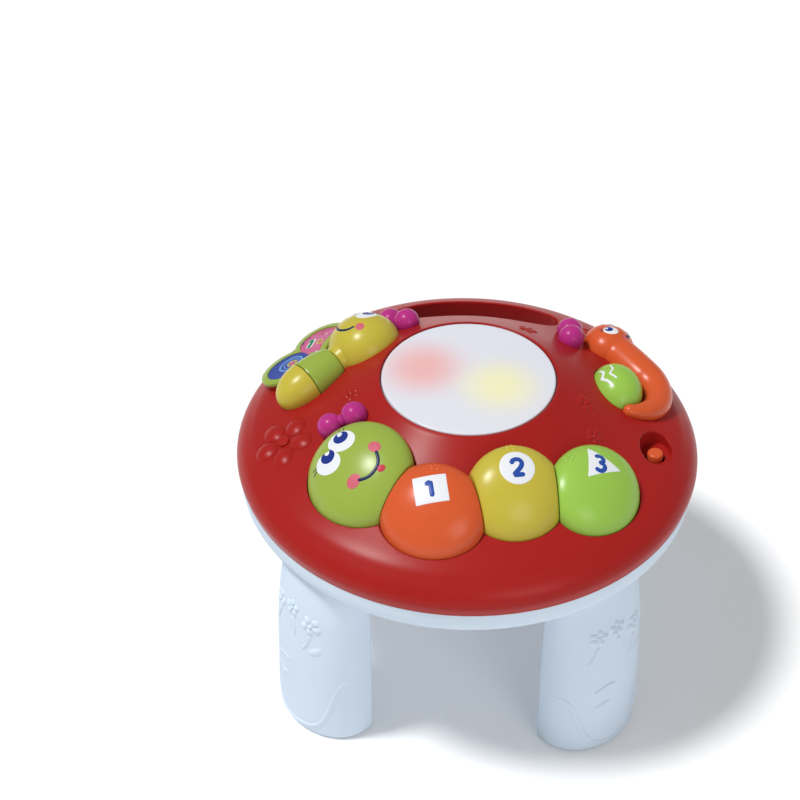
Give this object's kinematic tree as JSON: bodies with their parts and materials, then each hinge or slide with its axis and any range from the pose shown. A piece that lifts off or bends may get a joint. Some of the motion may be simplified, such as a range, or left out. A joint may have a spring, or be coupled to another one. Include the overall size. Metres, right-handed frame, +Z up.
{
  "type": "musical activity table",
  "caption": "Round baby activity table: domed top with pressed keys, lit drum disc, flip wing, rolling egg and slide switch on plug-in legs.",
  "frame": {"origin": "centre of the table on the floor, under the soles of the legs", "axes": "+Z up, handle hole at +Y, keys at -Y, snail and switch at +X"},
  "size_m": [0.3032, 0.3032, 0.2285],
  "materials": {
    "red_plastic": "glossy red",
    "white_plastic": "satin bluish white",
    "clear_white_plastic": "milky, lit from below",
    "lime_plastic": "glossy lime",
    "orange_plastic": "glossy orange",
    "yellow_plastic": "glossy yellow",
    "green_plastic": "glossy green",
    "magenta_plastic": "glossy magenta",
    "steel": "plain",
    "black_plastic": "matte black",
    "board": "green resist",
    "grey_rubber": "soft grey",
    "lamp_red": "tinted",
    "lamp_yellow": "tinted",
    "lamp_green": "tinted"
  },
  "bodies": {
    "housing": {"top_shell": "red_plastic", "bottom_tray": "white_plastic", "battery_1": "black_plastic", "battery_2": "black_plastic", "battery_3": "black_plastic", "battery_contact_front": "steel", "battery_contact_rear": "steel", "battery_door": "white_plastic", "battery_door_screw": "steel", "butterfly_bow": "magenta_plastic", "butterfly_head": "yellow_plastic", "butterfly_tail": "yellow_plastic", "worm_bow": "magenta_plastic", "circuit_board": "board", "disc_pad_1": "grey_rubber", "disc_pad_2": "grey_rubber", "disc_pad_3": "grey_rubber", "egg_axle": "steel", "key_dome_1": "grey_rubber", "key_dome_2": "grey_rubber", "key_dome_3": "grey_rubber", "key_dome_4": "grey_rubber", "lamp_bowl": "clear_white_plastic", "lamp_green": "lamp_green", "lamp_red": "lamp_red", "lamp_yellow": "lamp_yellow", "slide_switch": "steel", "snail_body": "orange_plastic", "snail_bow": "magenta_plastic", "speaker": "black_plastic", "wing_axle": "steel", "housing_screw_front": "steel", "housing_screw_left": "steel", "housing_screw_rear_left": "steel", "housing_screw_rear_right": "steel", "housing_screw_right": "steel"},
    "drum_disc": {"drum_disc": "clear_white_plastic"},
    "wing": {"butterfly_wing": "lime_plastic"},
    "egg": {"egg_roller_green": "green_plastic", "egg_roller_orange": "orange_plastic"},
    "switch_knob": {"switch_knob": "orange_plastic"},
    "worm_head_key": {"worm_head_key": "lime_plastic"},
    "note_key_1": {"note_key_1": "orange_plastic"},
    "note_key_2": {"note_key_2": "yellow_plastic"},
    "note_key_3": {"note_key_3": "green_plastic"},
    "leg_front_right": {"leg_front_right": "white_plastic"},
    "leg_rear_right": {"leg_rear_right": "white_plastic"},
    "leg_rear_left": {"leg_rear_left": "white_plastic"},
    "leg_front_left": {"leg_front_left": "white_plastic"}
  },
  "joints": [
    {"name": "disc_press", "type": "slide", "parent": "housing", "child": "drum_disc", "axis": [0, 0, -1], "range_m": [0, 0.0015], "stiffness_N_per_m": 1500, "springref_m": -0.0008, "deforming": ["disc_pad_1", "disc_pad_2", "disc_pad_3"]},
    {"name": "worm_head_key_press", "type": "slide", "parent": "housing", "child": "worm_head_key", "axis": [0, 0, -1], "range_m": [0, 0.003], "stiffness_N_per_m": 800, "springref_m": -0.002, "deforming": ["key_dome_1"]},
    {"name": "note_key_1_press", "type": "slide", "parent": "housing", "child": "note_key_1", "axis": [0, 0, -1], "range_m": [0, 0.003], "stiffness_N_per_m": 800, "springref_m": -0.002, "deforming": ["key_dome_2"]},
    {"name": "note_key_2_press", "type": "slide", "parent": "housing", "child": "note_key_2", "axis": [0, 0, -1], "range_m": [0, 0.003], "stiffness_N_per_m": 800, "springref_m": -0.002, "deforming": ["key_dome_3"]},
    {"name": "note_key_3_press", "type": "slide", "parent": "housing", "child": "note_key_3", "axis": [0, 0, -1], "range_m": [0, 0.003], "stiffness_N_per_m": 800, "springref_m": -0.002, "deforming": ["key_dome_4"]},
    {"name": "wing_flip", "type": "hinge", "parent": "housing", "child": "wing", "pos_m": [-0.07118, 0.04552, 0.20952], "axis": [0.7182, 0.6535, 0.2392], "range_deg": [0, 160]},
    {"name": "egg_spin", "type": "hinge", "parent": "housing", "child": "egg", "pos_m": [0.09607, 0.02324, 0.1954], "axis": [-0.2351, 0.972, 0], "continuous": true},
    {"name": "switch_slide", "type": "slide", "parent": "housing", "child": "switch_knob", "axis": [0.9866, -0.1633, 0], "range_m": [-0.004, 0.004]},
    {"name": "leg_front_right_plug", "type": "slide", "parent": "housing", "child": "leg_front_right", "axis": [0, 0, -1], "range_m": [0, 0.018]},
    {"name": "leg_rear_right_plug", "type": "slide", "parent": "housing", "child": "leg_rear_right", "axis": [0, 0, -1], "range_m": [0, 0.018]},
    {"name": "leg_rear_left_plug", "type": "slide", "parent": "housing", "child": "leg_rear_left", "axis": [0, 0, -1], "range_m": [0, 0.018]},
    {"name": "leg_front_left_plug", "type": "slide", "parent": "housing", "child": "leg_front_left", "axis": [0, 0, -1], "range_m": [0, 0.018]}
  ]
}
